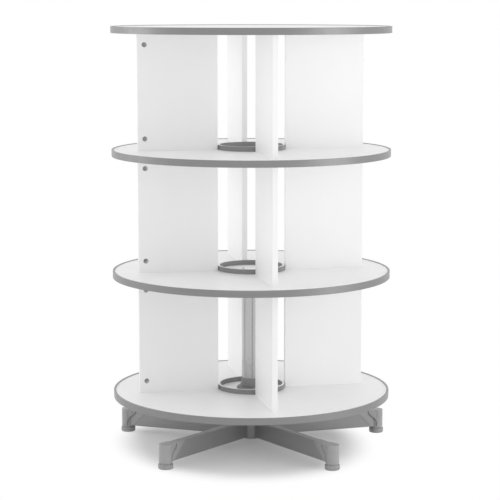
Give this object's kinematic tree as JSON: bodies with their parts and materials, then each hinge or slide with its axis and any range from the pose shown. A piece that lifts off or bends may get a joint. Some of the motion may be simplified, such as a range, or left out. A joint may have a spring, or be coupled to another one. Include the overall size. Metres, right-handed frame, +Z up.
{
  "type": "rotating media tower",
  "caption": "Round white shelf tower with crossed divider panels, which turns on a centre post above a grey star base with levelling feet.",
  "frame": {"origin": "on the floor, on the axis that the tower turns on", "axes": "+Z up; +X along the right-hand dividers; -Y to the front, along the front dividers"},
  "size_m": [0.8101, 0.8027, 1.209],
  "materials": {
    "white_melamine": "particleboard faced with fine-textured white melamine, satin",
    "silver_edge": "silver-grey plastic edging in a U round the rim, semi-gloss with a fine drawn grain",
    "ring_plastic": "grey moulded plastic, semi-gloss",
    "polished_post": "ground and chromium-plated steel tube",
    "zinc_steel": "zinc-plated steel",
    "base_paint": "silver-grey powder coat, fine grain",
    "housing_plastic": "grey moulded plastic, fine spark texture",
    "glide_plastic": "grey moulded plastic, scuffed",
    "flange_plastic": "grey moulded plastic, satin",
    "dark_plastic": "dark self-lubricating plastic"
  },
  "bodies": {
    "base": {"base_hub": "base_paint", "base_plate": "base_paint", "base_bolt": "zinc_steel", "centre_post": "polished_post", "post_foot_plug": "zinc_steel", "post_head_plug": "zinc_steel", "thrust_ring": "dark_plastic", "leg_1": "base_paint", "leg_2": "base_paint", "leg_3": "base_paint", "leg_4": "base_paint", "leg_5": "base_paint", "foot_housing_1": "housing_plastic", "foot_housing_2": "housing_plastic", "foot_housing_3": "housing_plastic", "foot_housing_4": "housing_plastic", "foot_housing_5": "housing_plastic"},
    "tower": {"bottom_shelf": "white_melamine", "lower_shelf": "white_melamine", "upper_shelf": "white_melamine", "top_shelf": "white_melamine", "bottom_edge_band": "silver_edge", "lower_edge_band": "silver_edge", "upper_edge_band": "silver_edge", "top_edge_band": "silver_edge", "bottom_divider_right": "white_melamine", "bottom_divider_rear": "white_melamine", "bottom_divider_left": "white_melamine", "bottom_divider_front": "white_melamine", "middle_divider_right": "white_melamine", "middle_divider_rear": "white_melamine", "middle_divider_left": "white_melamine", "middle_divider_front": "white_melamine", "top_divider_right": "white_melamine", "top_divider_rear": "white_melamine", "top_divider_left": "white_melamine", "top_divider_front": "white_melamine", "bottom_stop_ring": "ring_plastic", "lower_stop_ring": "ring_plastic", "upper_stop_ring": "ring_plastic", "pivot_plate": "zinc_steel", "guide_flange": "flange_plastic", "guide_bush": "flange_plastic", "pivot_screw_1": "zinc_steel", "pivot_screw_2": "zinc_steel", "pivot_screw_3": "zinc_steel", "pivot_screw_4": "zinc_steel", "guide_screw_1": "zinc_steel", "guide_screw_2": "zinc_steel", "guide_screw_3": "zinc_steel", "guide_screw_4": "zinc_steel"},
    "glide_1": {"glide_1": "glide_plastic"},
    "glide_2": {"glide_2": "glide_plastic"},
    "glide_3": {"glide_3": "glide_plastic"},
    "glide_4": {"glide_4": "glide_plastic"},
    "glide_5": {"glide_5": "glide_plastic"}
  },
  "joints": [
    {"name": "tower_spin", "type": "hinge", "parent": "base", "child": "tower", "pos_m": [0, 0, 0], "axis": [0, 0, 1], "continuous": true},
    {"name": "glide_1_height", "type": "slide", "parent": "base", "child": "glide_1", "axis": [0, 0, -1], "range_m": [0, 0.01]},
    {"name": "glide_2_height", "type": "slide", "parent": "base", "child": "glide_2", "axis": [0, 0, -1], "range_m": [0, 0.01]},
    {"name": "glide_3_height", "type": "slide", "parent": "base", "child": "glide_3", "axis": [0, 0, -1], "range_m": [0, 0.01]},
    {"name": "glide_4_height", "type": "slide", "parent": "base", "child": "glide_4", "axis": [0, 0, -1], "range_m": [0, 0.01]},
    {"name": "glide_5_height", "type": "slide", "parent": "base", "child": "glide_5", "axis": [0, 0, -1], "range_m": [0, 0.01]}
  ]
}
